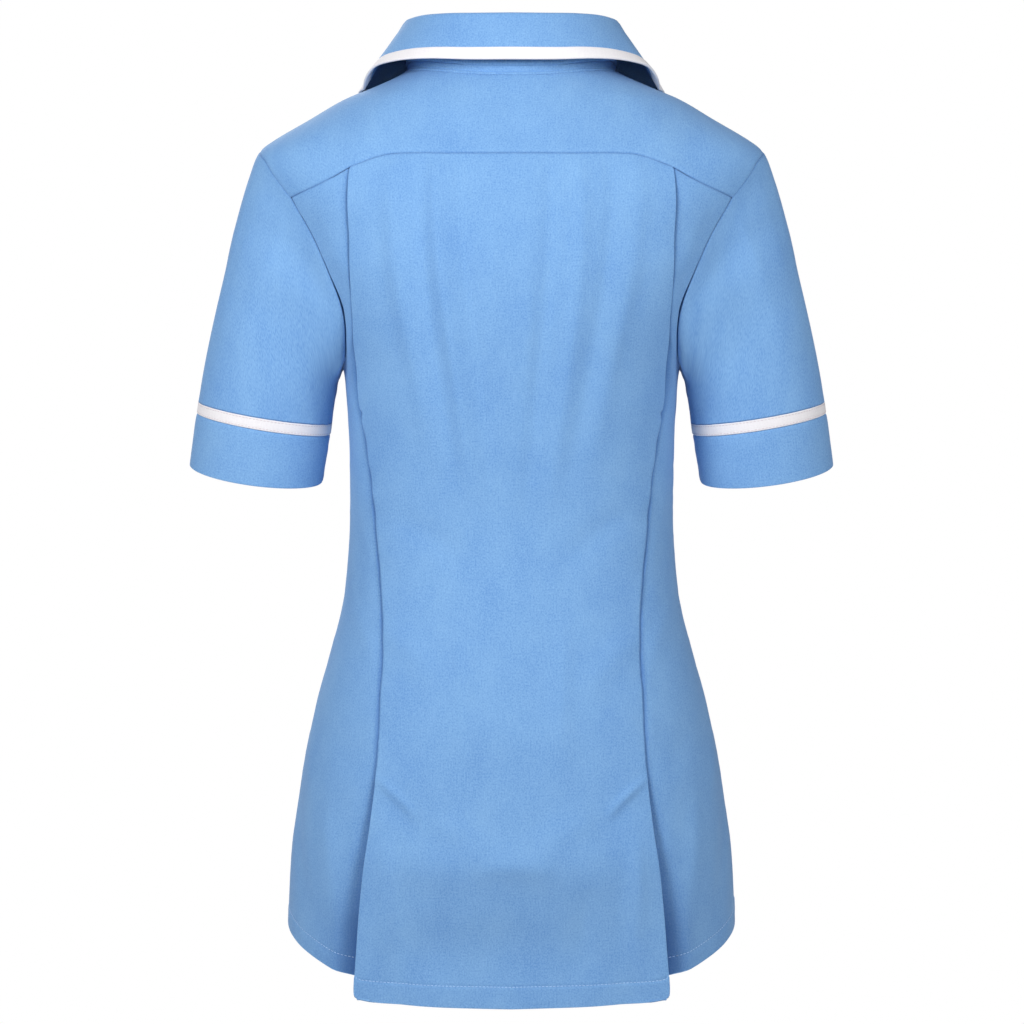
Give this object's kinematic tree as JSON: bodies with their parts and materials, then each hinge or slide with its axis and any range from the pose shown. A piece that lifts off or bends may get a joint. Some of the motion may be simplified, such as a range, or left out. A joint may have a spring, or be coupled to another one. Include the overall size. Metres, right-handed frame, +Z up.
{
  "type": "medical tunic",
  "caption": "Short-sleeved medical tunic, filled out as worn, with a turned collar, yoke, action pleats, back vents, cuffs and white binding.",
  "frame": {"origin": "middle of the neck, level with the inner ends of the shoulders, where the garment hangs on its wearer", "axes": "+Z up the wearer's back, +Y towards the back of the garment, +X towards the wearer's left"},
  "size_m": [0.5214, 0.2598, 0.7806],
  "materials": {
    "cloth": "matt light-blue polycotton",
    "binding": "matt white polycotton binding",
    "buttons": "satin white"
  },
  "bodies": {
    "root": {"yoke": "cloth", "back_centre": "cloth", "back_side_left": "cloth", "back_side_right": "cloth", "front_left": "cloth", "front_right": "cloth", "sleeve_left": "cloth", "sleeve_right": "cloth", "cuff_band_left": "binding", "cuff_band_right": "binding", "cuff_left": "cloth", "cuff_right": "cloth", "collar": "cloth", "collar_binding": "binding", "button_1": "buttons", "button_2": "buttons", "button_3": "buttons", "button_4": "buttons", "button_5": "buttons", "button_6": "buttons"}
  },
  "joints": []
}
